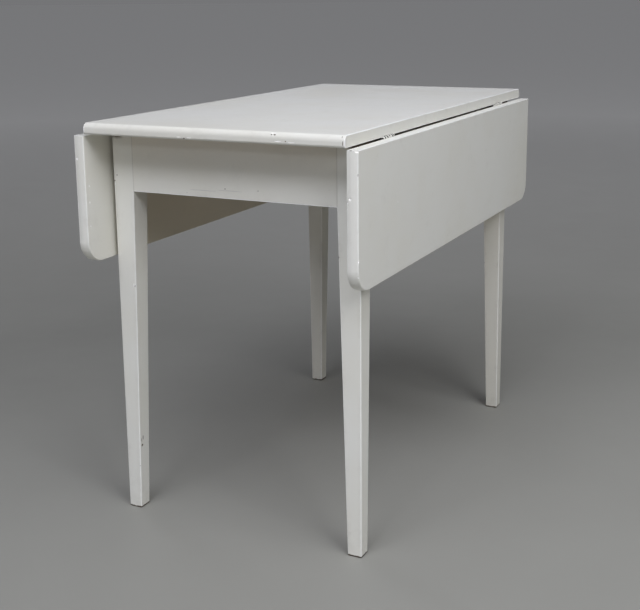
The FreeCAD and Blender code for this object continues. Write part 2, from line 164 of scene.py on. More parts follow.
def new_group(name, inputs, outputs):
    """Empty shader group; gives its tree, the sockets that it takes and those that it puts out."""
    tree = bpy.data.node_groups.new(name, "ShaderNodeTree")
    for label, (kind, value) in inputs.items():
        socket = tree.interface.new_socket(label, in_out="INPUT", socket_type="NodeSocket" + kind)
        socket.default_value = value
    for label, kind in outputs.items():
        tree.interface.new_socket(label, in_out="OUTPUT", socket_type="NodeSocket" + kind)
    taken = tree.nodes.new("NodeGroupInput").outputs
    given = tree.nodes.new("NodeGroupOutput").inputs
    return tree, taken, given


def use(tree, group, **sources):
    """Places a group in a tree; a name's underscores stand for the spaces of its socket."""
    node = put(tree, "Group", node_tree=group)
    for name, source in sources.items():
        feed(tree, node.inputs[name.replace("_", " ")], source)
    return node.outputs


def edge_distance_group():
    """Distance in metres from the nearest edge of a square board centred on the point's zero."""
    tree, taken, given = new_group(
        "edge_distance",
        {"Point": ("Vector", (0, 0, 0)), "Half Size": ("Vector", (1, 1, 1))},
        {"Distance": "Float"})
    from_middle = vector_calc(tree, "ABSOLUTE", taken["Point"])
    x, y, z = parts_of(tree, vector_calc(tree, "SUBTRACT", from_middle, taken["Half Size"]))
    least = calc(tree, "MINIMUM", x, y)
    most = calc(tree, "MAXIMUM", x, y)
    second = calc(tree, "MAXIMUM", least, calc(tree, "MINIMUM", most, z))
    feed(tree, given["Distance"], calc(tree, "MULTIPLY", second, -1.0))
    return tree


def brush_marks_group():
    """Streaks that a bristle brush leaves in enamel, as a height in millimetres and a tone."""
    stroke_weight = 2.0
    sag_weight = 4.0
    mark_height = 0.018
    mark_tone = 0.333
    tree, taken, given = new_group(
        "brush_marks",
        {"Point": ("Vector", (0, 0, 0)), "Across": ("Vector", (1, 1, 1))},
        {"Height": "Float", "Tone": "Float"})
    along_brush = vector_calc(tree, "MULTIPLY", taken["Point"], taken["Across"])
    bristles = noise(tree, along_brush, scale=620.0, detail=3.0, roughness=0.6)
    strokes = noise(tree, along_brush, scale=75.0)
    sags = noise(tree, taken["Point"], scale=38.0, detail=1.0)
    streaks = calc(tree, "MULTIPLY_ADD", strokes, stroke_weight, bristles)
    height = calc(tree, "MULTIPLY_ADD", sags, sag_weight, streaks)
    feed(tree, given["Height"], product(tree, height, mark_height))
    feed(tree, given["Tone"], product(tree, streaks, mark_tone))
    return tree


def aged_enamel_group():
    """Old off-white enamel: clouds of yellow, smears, dirt, painted shade and painted highlights on the
    arrises.
    """
    cloud_share = 0.7
    streak_share = 0.35
    handled_share = 0.12
    smear_share = 0.11
    fleck_share = 0.22
    gloss = 0.29
    smear_dulling = 0.22
    dirt_dulling = 0.35
    tree, taken, given = new_group(
        "aged_enamel",
        {"Point": ("Vector", (0, 0, 0)), "Edge": ("Float", 1.0), "Streaks": ("Float", 0.5),
         "Dirt": ("Float", 0.0), "Age": ("Float", 0.0), "Rub": ("Float", 0.5)},
        {"Color": "Color", "Roughness": "Float"})
    clouds = noise(tree, taken["Point"], scale=5.5, detail=3.0)
    smears = noise(tree, taken["Point"], scale=26.0, detail=5.0, roughness=0.62)
    specks = noise(tree, taken["Point"], scale=310.0)
    yellow = product(tree, step(tree, clouds, start=0.35, end=0.75), cloud_share)
    streaky = calc(tree, "MULTIPLY_ADD", taken["Streaks"], streak_share, yellow)
    clouded_paint = blend_colours(tree, streaky, enamel_fresh, enamel_yellowed)
    # Painted shade: the paint turns yellower and darker where a piece is given shade.
    paint = blend_colours(tree, taken["Age"], clouded_paint, enamel_shade_yellowed)
    in_reach = step(tree, taken["Edge"], start=0.011, end=0.001)
    handled = product(tree, in_reach, step(tree, smears, start=0.42, end=0.72))
    smeared = product(tree, step(tree, smears, start=0.56, end=0.80), smear_share)
    flecks = product(tree, step(tree, specks, start=0.73, end=0.78), fleck_share)
    own_dirt = calc(tree, "MULTIPLY_ADD", handled, handled_share, calc(tree, "ADD", smeared, flecks))
    # Own dirt, together with the dirt and painted shade passed in.
    dirt_and_shade = calc(tree, "ADD", own_dirt, taken["Dirt"])
    # Painted highlight: the arrises are lightened towards a whiter enamel, for the bright line that
    # light draws along them.
    arris_highlight_mask = product(tree, step(tree, taken["Edge"], start=0.0022, end=0.0007), taken["Rub"])
    arris = blend_colours(tree, arris_highlight_mask, paint, enamel_arris_highlight)
    feed(tree, given["Color"], blend_colours(tree, dirt_and_shade, arris, enamel_grime_and_shade))
    clean_roughness = calc(tree, "MULTIPLY_ADD", smears, smear_dulling, gloss)
    feed(tree, given["Roughness"], calc(tree, "MULTIPLY_ADD", dirt_and_shade, dirt_dulling, clean_roughness))
    return tree


def edge_chips_group():
    """Mask of the small chips where enamel has been knocked off close to an edge."""
    raggedness = 0.005
    ragged_share = 0.35
    full_reach = 0.7
    rim = 0.02
    tree, taken, given = new_group(
        "edge_chips",
        {"Point": ("Vector", (0, 0, 0)), "Edge": ("Float", 1.0), "Reach": ("Float", 0.003),
         "Share": ("Float", 0.3)},
        {"Chip": "Float"})
    where = noise(tree, taken["Point"], scale=21.0)
    ragged = noise(tree, taken["Point"], scale=330.0, detail=3.0, roughness=0.6)
    smooth_edge = calc(tree, "SUBTRACT", taken["Edge"], raggedness / 2)
    rough_edge = calc(tree, "MULTIPLY_ADD", ragged, raggedness, smooth_edge)
    near = step(tree, rough_edge, taken["Reach"], product(tree, taken["Reach"], full_reach))
    level = calc(tree, "SUBTRACT", 1.0, taken["Share"])
    lumps = calc(tree, "MULTIPLY_ADD", ragged, ragged_share, product(tree, where, 1.0 - ragged_share))
    knocked = step(tree, lumps, level, calc(tree, "ADD", level, rim))
    feed(tree, given["Chip"], product(tree, near, knocked))
    return tree


def pine_grain_group():
    """Planed softwood with its grain along X: growth rings round a far pith, fibres and age dirt."""
    wander_stretch = (1.6, 9.0, 9.0)
    fibre_stretch = (0.03, 1.0, 1.0)
    pith_offset_y = 0.021
    pith_offset_z = 0.037
    ring_wander = 0.045
    rings_to_metre = 270.0
    late_share = 0.6
    fibre_share = 0.3
    stain_share = 0.45
    relief = 0.05
    tree, taken, given = new_group(
        "pine_grain", {"Point": ("Vector", (0, 0, 0))}, {"Color": "Color", "Height": "Float"})
    wander = noise(tree, vector_calc(tree, "MULTIPLY", taken["Point"], wander_stretch), scale=1.0)
    at = parts_of(tree, taken["Point"])
    from_pith_y = calc(tree, "ADD", at["Y"], pith_offset_y)
    from_pith_z = calc(tree, "ADD", at["Z"], pith_offset_z)
    from_pith = vector_calc(tree, "LENGTH", vector_of(tree, 0.0, from_pith_y, from_pith_z))
    radius = calc(tree, "MULTIPLY_ADD", wander, ring_wander, from_pith)
    ring = calc(tree, "FRACT", product(tree, radius, rings_to_metre))
    late = product(tree, step(tree, ring, start=0.25, end=0.9), step(tree, ring, start=1.0, end=0.93))
    along_fibres = vector_calc(tree, "MULTIPLY", taken["Point"], fibre_stretch)
    fibres = noise(tree, along_fibres, scale=900.0, detail=3.0)
    stain = noise(tree, taken["Point"], scale=9.0, detail=4.0)
    darkness = calc(tree, "MULTIPLY_ADD", fibres, fibre_share, product(tree, late, late_share))
    wood = blend_colours(tree, darkness, pine_early, pine_late)
    dirty = product(tree, step(tree, stain, start=0.48, end=0.82), stain_share)
    feed(tree, given["Color"], blend_colours(tree, dirty, wood, pine_dirt))
    feed(tree, given["Height"], calc(tree, "MULTIPLY_ADD", fibres, relief, product(tree, late, relief)))
    return tree


edge_distance = edge_distance_group()
brush_marks = brush_marks_group()
aged_enamel = aged_enamel_group()
edge_chips = edge_chips_group()
pine_grain = pine_grain_group()

grain_turns = {"X": (0, 0, 0), "Y": (0, 0, math.radians(90)), "Z": (0, math.radians(90), 0)}
brush_stretch = 0.035
chip_reach = 0.0026
chip_depth = 0.35
chip_dirt = 0.82
wood_roughness = 0.72
undercoat_from = 0.3
undercoat_full = 0.5
wood_from = 0.65
wood_full = 0.85
sharp_chip_from = 0.75
least_lump = 0.76
most_lump = 1.10
merge_distance = 1e-6
sharp_angle = math.radians(35)
flat_face_weight = 100
bump_unit = 0.001


def new_material(name):
    """Empty material; gives it, its tree, its principled shader and the object's own coordinates."""
    material = bpy.data.materials.new(name)
    material.use_nodes = True
    tree = material.node_tree
    tree.nodes.clear()
    shader = put(tree, "BsdfPrincipled")
    feed(tree, put(tree, "OutputMaterial").inputs["Surface"], shader.outputs["BSDF"])
    return material, tree, shader, put(tree, "TexCoord").outputs["Object"]


def finish_shader(tree, shader, colour, roughness, height):
    """Joins a surface's colour, roughness and height in millimetres to its shader."""
    feed(tree, shader.inputs["Base Color"], colour)
    feed(tree, shader.inputs["Roughness"], roughness)
    bump = put(tree, "Bump")
    bump.inputs["Distance"].default_value = bump_unit
    feed(tree, bump.inputs["Height"], height)
    feed(tree, shader.inputs["Normal"], bump.outputs["Normal"])


def pine_along(tree, point, grain):
    """Softwood with its grain along one axis."""
    turned = put(tree, "Mapping", point)
    turned.inputs["Rotation"].default_value = grain_turns[grain]
    return use(tree, pine_grain, Point=turned.outputs[0])


def painted_wood(name, grain, edges, chips=0.28, arris_highlight=0.5, marked=None, bare=None, dirt_and_shade=None, shade_yellowing=None):
    """Enamelled softwood, flaked at its edges, lost in its knocks and bare where it is unpainted.

    edges and the optional masks are functions of the tree and the point that give a socket: the
    masks give dark-wood marks, bare wood, dirt and yellower paint, and all but the bare wood can
    carry painted shade. The knocks cut into a worn piece carry their loss of paint as an attribute.
    """
    material, tree, shader, point = new_material(name)
    edge = edges(tree, point)
    across = [brush_stretch if axis == grain else 1.0 for axis in "XYZ"]
    marks = use(tree, brush_marks, Point=point, Across=across)
    knocked = put(tree, "Attribute", attribute_name="paint_lost").outputs["Fac"]
    paint = use(tree, aged_enamel, Point=point, Edge=edge, Streaks=marks["Tone"], Rub=arris_highlight,
                Dirt=dirt_and_shade(tree, point) if dirt_and_shade else 0.0, Age=shade_yellowing(tree, point) if shade_yellowing else 0.0)
    # The white undercoat in half-lost knocks, partly a painted highlight for the dents' glints.
    undercoat_and_glint = step(tree, knocked, undercoat_from, undercoat_full)
    coats = blend_colours(tree, undercoat_and_glint, paint["Color"], undercoat_glint_white)
    wood = pine_along(tree, point, grain)
    flaked_and_marked = use(tree, edge_chips, Point=point, Edge=edge, Reach=chip_reach, Share=chips)["Chip"]
    # Dark-wood marks, which carry painted shade in the leaves' joints.
    if marked:
        flaked_and_marked = calc(tree, "MAXIMUM", flaked_and_marked, marked(tree, point))
    lost = calc(tree, "MAXIMUM", flaked_and_marked, step(tree, knocked, wood_from, wood_full))
    dirty_and_shaded_wood = blend_colours(tree, chip_dirt, wood["Color"], pine_dirt)
    colour = blend_colours(tree, lost, coats, dirty_and_shaded_wood)
    if bare:
        unpainted = bare(tree, point)
        colour = blend_colours(tree, unpainted, colour, wood["Color"])
        lost = calc(tree, "MAXIMUM", lost, unpainted)
    roughness = blend_values(tree, lost, paint["Roughness"], wood_roughness)
    surface = blend_values(tree, lost, marks["Height"], wood["Height"])
    height = calc(tree, "MULTIPLY_ADD", flaked_and_marked, -chip_depth, surface)
    finish_shader(tree, shader, colour, roughness, height)
    return material


def dress(material, *names):
    """Gives pieces of the frame a finish in place of their plain one."""
    for name in names:
        nodes[name].data.materials.clear()
        nodes[name].data.materials.append(material)


def shaped_object(name, shape):
    """Makes an object of a finished shape."""
    mesh = bpy.data.meshes.new(name)
    shape.to_mesh(mesh)
    shape.free()
    made = bpy.data.objects.new(name, mesh)
    bpy.context.scene.collection.objects.link(made)
    return made


def worn_piece(name, body, material, knocks):
    """Stands a worn copy in for a piece of the frame, with a lumpy dent cut into it at each knock.

    A knock gives its place, its reach along each axis and the share of paint lost in it: half bares
    the white undercoat, which also serves as a painted highlight for the dent's glint, and more
    leaves a sharp-sided chip of dirty wood.
    """
    wood = bmesh.new()
    wood.from_mesh(nodes[name].data)
    wood.faces.layers.float.new("paint_lost")
    bmesh.ops.remove_doubles(wood, verts=wood.verts, dist=merge_distance)
    piece = shaped_object("worn_" + name, wood)
    dents = bmesh.new()
    paint_lost = dents.faces.layers.float.new("paint_lost")
    lumps = random.Random(name)
    for place, reach, lost in knocks:
        facets = 1 if lost > sharp_chip_from else 2
        pebble = bmesh.ops.create_icosphere(dents, subdivisions=facets, radius=1.0)["verts"]
        for corner in pebble:
            corner.co *= lumps.uniform(least_lump, most_lump)
        for face in {face for corner in pebble for face in corner.link_faces}:
            face[paint_lost] = lost
        bmesh.ops.scale(dents, vec=reach, verts=pebble)
        bmesh.ops.translate(dents, vec=place, verts=pebble)
    tool = shaped_object("dents_of_" + name, dents)
    cut = piece.modifiers.new("dents", "BOOLEAN")
    cut.operation = "DIFFERENCE"
    cut.solver = "EXACT"
    cut.object = tool
    evaluated = piece.evaluated_get(bpy.context.evaluated_depsgraph_get())
    marked = bpy.data.meshes.new_from_object(evaluated)
    piece.modifiers.remove(cut)
    piece.data = marked
    bpy.data.objects.remove(tool)
    marked.attributes.remove(marked.attributes["custom_normal"])
    marked.shade_smooth()
    marked.set_sharp_from_angle(angle=sharp_angle)
    even = piece.modifiers.new("even_shading", "WEIGHTED_NORMAL")
    even.keep_sharp = True
    even.weight = flat_face_weight
    marked.materials.clear()
    marked.materials.append(material)
    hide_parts(name)
    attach(piece, body)


foot_raggedness = 0.004
shade_raggedness = 0.010
inner_shade_share = 0.40
scuff_share = 0.16
back_leg_shade = 0.28


def leg_width(tree, z):
    """Width of a leg at a height: it narrows from the frame towards its foot."""
    taper = (leg_size - foot_size) / frame_bottom
    return calc(tree, "MINIMUM", calc(tree, "MULTIPLY_ADD", z, taper, foot_size), leg_size)


def leg_edges(tree, point):
    """Distance from the arrises of the nearest leg.

    Beside the aprons and rails only the outer arris counts, as the inner ones lie in the joints.
    """
    at = sizes_of(tree, point)
    half_width = product(tree, leg_width(tree, at["Z"]), 0.5)
    joined = step(tree, at["Z"], start=frame_bottom, end=frame_bottom + 0.001)
    half = calc(tree, "MULTIPLY_ADD", joined, leg_size / 2, half_width)
    from_x = calc(tree, "SUBTRACT", calc(tree, "SUBTRACT", leg_outer_x, at["X"]), half)
    from_y = calc(tree, "SUBTRACT", calc(tree, "SUBTRACT", leg_outer_y, at["Y"]), half)
    from_z = calc(tree, "SUBTRACT", at["Z"], leg_height / 2)
    return use(tree, edge_distance, Point=vector_of(tree, from_x, from_y, from_z),
               Half_Size=vector_of(tree, half, half, leg_height / 2))["Distance"]


def ragged_height(tree, point):
    """Height above the floor, made ragged, for the lower limit of painted shade."""
    drifts = noise(tree, point, scale=28.0, detail=4.0, roughness=0.6)
    return calc(tree, "MULTIPLY_ADD", drifts, shade_raggedness, parts_of(tree, point)["Z"])


def leg_foot_and_joint_shade(tree, point):
    """Dark dirty wood along the lowest edge of a foot, and painted shade as dark wood at the outer head,
    in a leaf's joint.
    """
    at = parts_of(tree, point)
    foot_wobble = noise(tree, point, scale=160.0, detail=3.0)
    foot = calc(tree, "MULTIPLY_ADD", foot_wobble, -foot_raggedness, at["Z"])
    from_middle = calc(tree, "ABSOLUTE", at["X"])
    outer = step(tree, from_middle, start=leg_outer_x - 0.028, end=leg_outer_x - 0.012)
    # Painted shade: dark wood at the outer head, in the leaf's joint.
    head = step(tree, ragged_height(tree, point), start=leg_height - 0.011, end=leg_height - 0.003)
    return calc(tree, "MAXIMUM", product(tree, outer, head), step(tree, foot, start=0.0016, end=0.0004))


def leg_scuffs_and_shade(tree, point):
    """Grey scuffs that thicken towards the floor, and painted shade as dark grime on the inner faces
    under the frame.
    """
    at = sizes_of(tree, point)
    from_outer = calc(tree, "SUBTRACT", leg_outer_x, at["X"])
    past_inner = calc(tree, "SUBTRACT", from_outer, leg_width(tree, at["Z"]))
    inner = step(tree, past_inner, start=-0.0012, end=-0.0004)
    high = step(tree, at["Z"], start=0.42, end=0.60)
    # Painted shade: dark grime on the upper inner faces, under the frame.
    inner_shade = product(tree, inner, high, inner_shade_share)
    marks = noise(tree, point, scale=60.0, detail=4.0, roughness=0.6)
    low = step(tree, at["Z"], start=0.11, end=0.0)
    scuffs = product(tree, step(tree, marks, start=0.42, end=0.72), low)
    return calc(tree, "MULTIPLY_ADD", scuffs, scuff_share, inner_shade)


def leg_shade_yellowing(tree, point):
    """Painted shade: yellower, darker paint on the back legs."""
    return product(tree, step(tree, parts_of(tree, point)["Y"], start=-0.2, end=0.2), back_leg_shade)


leg_knocks = {
    "leg_front_left": (
        ((-0.2123, -0.3972, 0.1255), (0.0014, 0.0028, 0.0032), 1.0),
        ((-0.2119, -0.3988, 0.1362), (0.0008, 0.0010, 0.0052), 0.85),
        ((-0.2119, -0.3942, 0.1400), (0.0009, 0.0015, 0.0060), 0.8),
        ((-0.2133, -0.4040, 0.0860), (0.0030, 0.0012, 0.0011), 0.75),
        ((-0.2414, -0.4038, 0.6238), (0.0030, 0.0017, 0.0025), 0.5),
        ((-0.2402, -0.4040, 0.6294), (0.0015, 0.0011, 0.0020), 0.9),
        ((-0.2349, -0.4040, 0.6397), (0.0012, 0.0008, 0.0014), 0.9),
        ((-0.2420, -0.4040, 0.5730), (0.0016, 0.0016, 0.0040), 0.5),
        ((-0.2094, -0.4040, 0.4390), (0.0012, 0.0008, 0.0036), 0.5),
        ((-0.2069, -0.4040, 0.4372), (0.0010, 0.0008, 0.0024), 0.9),
    ),
    "leg_front_right": (
        ((0.2021, -0.4040, 0.5296), (0.0017, 0.0016, 0.0022), 1.0),
        ((0.2066, -0.4040, 0.3500), (0.0014, 0.0014, 0.0032), 0.4),
        ((0.2134, -0.4038, 0.0870), (0.0016, 0.0014, 0.0022), 0.5),
    ),
    "leg_back_left": (
        ((-0.2420, 0.4040, 0.4120), (0.0022, 0.0022, 0.0036), 0.9),
        ((-0.2075, 0.3695, 0.3150), (0.0016, 0.0016, 0.0028), 0.4),
    ),
    "leg_back_right": (
        ((0.2028, 0.3648, 0.5000), (0.0017, 0.0017, 0.0024), 1.0),
        ((0.2066, 0.3686, 0.3500), (0.0016, 0.0016, 0.0020), 0.9),
        ((0.2420, 0.4040, 0.2310), (0.0022, 0.0022, 0.0038), 0.4),
    ),
}
leg_enamel = painted_wood("leg_enamel", "Z", leg_edges, marked=leg_foot_and_joint_shade, dirt_and_shade=leg_scuffs_and_shade, shade_yellowing=leg_shade_yellowing)
for name, knocks in leg_knocks.items():
    worn_piece(name, "frame", leg_enamel, knocks)


# End aprons: plain softwood boards tenoned between the legs, flush with their outer faces.
# The outer face and lower edge are enamelled, with hairline shakes along the grain that
# show through the paint, and the inner face was left bare. Shade is painted on the outer face
# as yellower, darker paint, most close under the top.

apron_low, apron_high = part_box("front_apron")
apron_inner_y = -apron_high.y
apron_half = Vector((leg_outer_x - leg_size, -apron_low.y, (apron_high.z - apron_low.z) / 2))
apron_mid_z = (apron_high.z + apron_low.z) / 2
no_edge = 1.0
run_lowest = frame_bottom - 0.006
run_height = 0.018
joint_dirt_share = 0.3
least_apron_shade = 0.10
most_apron_shade = 0.24


def board_edges(tree, point, mid_z, half):
    """Distance from the edges of a board centred over the table's middle."""
    lowered = vector_calc(tree, "SUBTRACT", point, (0, 0, mid_z))
    return use(tree, edge_distance, Point=lowered, Half_Size=half)["Distance"]


def apron_edges(tree, point):
    """Distance from the long edges of the end aprons."""
    return board_edges(tree, point, apron_mid_z, (no_edge, apron_half.y, apron_half.z))


def apron_bare(tree, point):
    """The unpainted inner faces, with paint that has run over their lower edge."""
    at = sizes_of(tree, point)
    inside = step(tree, at["Y"], start=apron_inner_y + 0.0012, end=apron_inner_y + 0.0004)
    runs = noise(tree, point, scale=45.0, detail=3.0)
    run_top = calc(tree, "MULTIPLY_ADD", runs, run_height, run_lowest)
    above = step(tree, calc(tree, "SUBTRACT", at["Z"], run_top), start=-0.0008, end=0.0008)
    return product(tree, inside, above)


def joint_dirt(tree, point):
    """Thin dirt in the line where an apron meets the legs."""
    from_middle = calc(tree, "ABSOLUTE", parts_of(tree, point)["X"])
    joint = step(tree, from_middle, start=apron_half.x - 0.0014, end=apron_half.x - 0.0004)
    return product(tree, joint, joint_dirt_share)


def apron_shade_yellowing(tree, point):
    """Painted shade: yellower, darker paint on the whole apron, most close under the top."""
    shade = step(tree, parts_of(tree, point)["Z"], start=frame_bottom, end=apron_high.z)
    return calc(tree, "MULTIPLY_ADD", shade, most_apron_shade, least_apron_shade)


apron_knocks = {
    "front_apron": (
        ((-0.0560, -0.4040, 0.6238), (0.0300, 0.0006, 0.00055), 0.74),
        ((-0.0020, -0.4040, 0.6262), (0.0260, 0.0006, 0.00050), 0.74),
        ((-0.0150, -0.4040, 0.6206), (0.0220, 0.0005, 0.00045), 0.72),
        ((-0.0107, -0.4040, 0.6291), (0.0013, 0.0007, 0.0011), 0.85),
        ((0.0536, -0.4040, 0.6300), (0.0011, 0.0006, 0.0010), 0.85),
        ((-0.0877, -0.4040, 0.6177), (0.0013, 0.0006, 0.0009), 0.75),
    ),
    "back_apron": (
        ((0.0410, 0.4040, 0.6231), (0.0310, 0.0004, 0.00035), 0.74),
        ((-0.0720, 0.4040, 0.6480), (0.0016, 0.0008, 0.0018), 0.5),
    ),
}
# The aprons take the full painted highlight on their arrises.
apron_enamel = painted_wood("apron_enamel", "X", apron_edges, chips=0.24, arris_highlight=1.0, bare=apron_bare,
                            dirt_and_shade=joint_dirt, shade_yellowing=apron_shade_yellowing)
for name, knocks in apron_knocks.items():
    worn_piece(name, "frame", apron_enamel, knocks)


# Inner side rails: rough-planed softwood tenoned into the legs behind the outer rails. No
# one sees them from outside, so they were never painted.

inner_rail_names = ("left_inner_rail", "right_inner_rail")
least_pine_roughness = 0.55
more_pine_roughness = 0.25


def bare_pine(name, grain):
    """Unpainted, time-darkened softwood with its grain along one axis."""
    material, tree, shader, point = new_material(name)
    wood = pine_along(tree, point, grain)
    tears = noise(tree, point, scale=120.0, detail=3.0)
    roughness = calc(tree, "MULTIPLY_ADD", tears, more_pine_roughness, least_pine_roughness)
    finish_shader(tree, shader, wood["Color"], roughness, wood["Height"])
    return material


dress(bare_pine("rail_pine", "Y"), *inner_rail_names)


# Outer rails and fly brackets: softwood screwed to the inner rails, with a wooden knuckle
# joint on a steel pin from which the ogee-ended bracket swings out under a raised leaf.
# The outer faces are enamelled and the knuckles and backs are bare, and the shade in a leaf's joint is
# painted as dark wood along their tops.

fly_names = [f"{side}_{piece}" for side in ("left", "right")
             for piece in ("knuckle_rail", "end_rail", "fly_bracket")]
fly_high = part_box("right_end_rail")[1]
fly_half = Vector((fly_high.x, fly_high.y, apron_half.z))
fly_paint_raggedness = 0.008


def fly_edges(tree, point):
    """Distance from the outer edges of the outer rails."""
    return board_edges(tree, point, apron_mid_z, fly_half)


def fly_bare(tree, point):
    """All but the outer faces, with a ragged line of paint round their edges."""
    strays = noise(tree, point, scale=70.0, detail=3.0)
    ragged = calc(tree, "MULTIPLY_ADD", strays, fly_paint_raggedness, sizes_of(tree, point)["X"])
    return step(tree, ragged, start=fly_half.x + 0.0006, end=fly_half.x - 0.0004)


def fly_joint_shade(tree, point):
    """Painted shade: dark wood along the top of the rails, in the joint of a leaf."""
    return step(tree, ragged_height(tree, point), start=apron_high.z - 0.008, end=apron_high.z)


dress(painted_wood("fly_rail_enamel", "Y", fly_edges, marked=fly_joint_shade, bare=fly_bare), *fly_names)


# Pins and wood screws: drawn steel wire for the knuckle pins, and slotted countersunk steel
# screws that hold the outer rails and the buttons. All have dulled and spotted with rust.

steel_names = ("left_fly_pin", "right_fly_pin", "rail_screws", "button_screws")
steel_bright = (0.430, 0.420, 0.400, 1)
steel_rust = (0.120, 0.052, 0.024, 1)
scratch_stretch = (1.0, 1.0, 0.08)
steel_roughness = 0.3
scratch_roughness = 0.2
rust_roughness = 0.35
rust_unmetal = 0.85
rust_height = 0.03


def dull_steel(name):
    """Old plain steel with rust spots and fine scratches."""
    material, tree, shader, point = new_material(name)
    spots = step(tree, noise(tree, point, scale=240.0, detail=4.0, roughness=0.65), start=0.50, end=0.66)
    scratches = noise(tree, vector_calc(tree, "MULTIPLY", point, scratch_stretch), scale=2600.0)
    colour = blend_colours(tree, spots, steel_bright, steel_rust)
    feed(tree, shader.inputs["Metallic"], calc(tree, "MULTIPLY_ADD", spots, -rust_unmetal, 1.0))
    clean_roughness = calc(tree, "MULTIPLY_ADD", scratches, scratch_roughness, steel_roughness)
    roughness = calc(tree, "MULTIPLY_ADD", spots, rust_roughness, clean_roughness)
    finish_shader(tree, shader, colour, roughness, product(tree, spots, rust_height))
    return material


dress(dull_steel("dull_steel"), *steel_names)


# Fixed top: one wide softwood board with round-nosed ends. The upper face and the edges are
# enamelled and carry faint smears and a few knocks, and the underside is bare planed wood
# with brush marks of enamel that strayed past the edge.

top_low, top_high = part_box("table_top")
top_half = Vector((top_high.x, top_high.y, (top_high.z - top_low.z) / 2))
top_mid_z = (top_high.z + top_low.z) / 2
strayed_width = 0.05
nose_dirt_share = 0.16


def top_edges(tree, point):
    """Distance from the edges of the fixed top."""
    return board_edges(tree, point, top_mid_z, top_half)


def top_bare(tree, point):
    """The underside, with strayed paint for a ragged width along its edges."""
    below = step(tree, parts_of(tree, point)["Z"], start=top_low.z + 0.0006, end=top_low.z + 0.0001)
    strays = noise(tree, point, scale=12.0, detail=5.0, roughness=0.55)
    past_paint = calc(tree, "MULTIPLY_ADD", strays, -strayed_width, top_edges(tree, point))
    return product(tree, below, step(tree, past_paint, start=-0.004, end=0.002))


def nose_dirt(tree, point):
    """Thin grime on the round-nosed ends, where hands take hold of the top."""
    at = sizes_of(tree, point)
    end = step(tree, at["Y"], start=top_half.y - 0.010, end=top_half.y - 0.006)
    below = step(tree, at["Z"], start=top_high.z - 0.001, end=top_high.z - 0.004)
    return product(tree, end, below, nose_dirt_share)


top_knocks = (
    ((0.1198, -0.4738, 0.7352), (0.0022, 0.0012, 0.0012), 1.0),
    ((0.1254, -0.4737, 0.7354), (0.0027, 0.0014, 0.0014), 1.0),
    ((0.1226, -0.4713, 0.7381), (0.0052, 0.0010, 0.0010), 0.5),
    ((0.1454, -0.4760, 0.7263), (0.0016, 0.0009, 0.0011), 1.0),
    ((0.1318, -0.4760, 0.7259), (0.0070, 0.0006, 0.0008), 0.5),
    ((0.1555, -0.4760, 0.7249), (0.0070, 0.0006, 0.0008), 0.5),
    ((0.2440, -0.4760, 0.7275), (0.0007, 0.0007, 0.0048), 0.85),
    ((0.2420, -0.4731, 0.7370), (0.0006, 0.0024, 0.0024), 0.85),
    ((-0.0429, -0.4754, 0.7226), (0.0026, 0.0014, 0.0014), 1.0),
    ((-0.0330, -0.4759, 0.7240), (0.0056, 0.0007, 0.0009), 0.5),
    ((-0.0530, -0.4759, 0.7244), (0.0050, 0.0007, 0.0009), 0.5),
    ((0.0420, -0.4760, 0.7222), (0.0036, 0.0010, 0.0010), 0.3),
    ((-0.1800, -0.4760, 0.7225), (0.0030, 0.0010, 0.0010), 0.3),
    ((0.2475, -0.3100, 0.7396), (0.0014, 0.0040, 0.0012), 0.4),
    ((-0.0840, 0.4735, 0.7358), (0.0036, 0.0016, 0.0015), 1.0),
    ((0.1930, 0.4760, 0.7240), (0.0024, 0.0009, 0.0012), 0.4),
)
# The top takes the full painted highlight on its arrises.
top_enamel = painted_wood("top_enamel", "Y", top_edges, chips=0.24, arris_highlight=1.0, bare=top_bare,
                          dirt_and_shade=nose_dirt)
worn_piece("table_top", "frame", top_enamel, top_knocks)


# Buttons: small offcuts of pine with a tongue, screwed up under the top, which catch in
# slots of the rails and let the top shrink and swell. They are unpainted.

button_names = ("front_button", "back_button", "left_front_button", "left_back_button",
                "right_front_button", "right_back_button")
dress(bare_pine("button_pine", "X"), *button_names)


# Butt hinges and their screws: two to a leaf, of rolled sheet steel let in flush under the
# joint. They were painted over with the table, so enamel fills their screw slots, and it has
# cracked off in patches down to dark steel. The dark steel is also painted most at the seams
# between knuckles, as painted shade in their slits.

hinges = [f"{side}_{end}_hinge" for side in ("left", "right") for end in ("front", "back")]
hinge_plates = [f"{hinge}_{half}_plate" for hinge in hinges for half in ("top", "leaf")]
hinge_pins = [f"{hinge}_pin" for hinge in hinges]
hinge_screws = ("top_hinge_screws", "left_leaf_hinge_screws", "right_leaf_hinge_screws")
hinge_steel_and_seam_shade = (0.060, 0.054, 0.048, 1)
hinge_start = 0.284
knuckle_length = 0.010
hinge_brush = (1.0, 0.2, 1.0)
hinge_dirt = 0.06
seam_loss_and_shade = 0.17
hinge_steel_roughness = 0.5
hinge_chip_depth = 0.15


